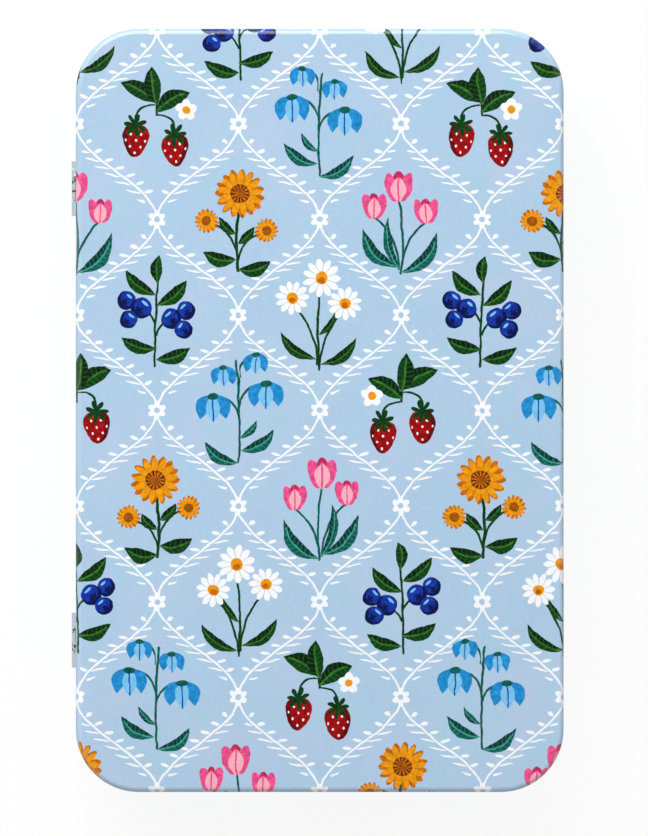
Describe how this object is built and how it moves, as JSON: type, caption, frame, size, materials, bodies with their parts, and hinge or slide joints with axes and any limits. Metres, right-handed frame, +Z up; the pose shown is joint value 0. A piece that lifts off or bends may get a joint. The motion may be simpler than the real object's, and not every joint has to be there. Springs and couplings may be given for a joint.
{
  "type": "hinged tin box",
  "caption": "Flat rectangular tin with rounded corners, a printed lid on rolled loop hinges along one long side, and a double-seamed bottom, for keeping papers and keepsakes.",
  "frame": {"origin": "on the resting plane, at the middle of the tin's rounded rectangle", "axes": "+X across the tin, away from the hinge side; +Y along the tin, towards the upper end of the print; +Z up through the lid"},
  "size_m": [0.1259, 0.1948, 0.04],
  "materials": {
    "lid_print": "lithographed tinplate with a semi-gloss varnish, pale blue with a printed pattern, bare tin inside",
    "wall_print": "lithographed tinplate with a semi-gloss varnish, pale blue with a printed pattern, bare tin inside",
    "bottom_tin": "bare tinplate, satin",
    "pin_steel": "drawn steel wire"
  },
  "bodies": {
    "base": {"body_wall": "wall_print", "bottom_plate": "bottom_tin"},
    "lid": {"lid": "lid_print", "hinge_pin_lower": "pin_steel", "hinge_pin_upper": "pin_steel"}
  },
  "joints": [
    {"name": "lid_hinge", "type": "hinge", "parent": "base", "child": "lid", "pos_m": [-0.0626, 0, 0.0274], "axis": [0, -1, 0], "range_deg": [0, 180]}
  ]
}
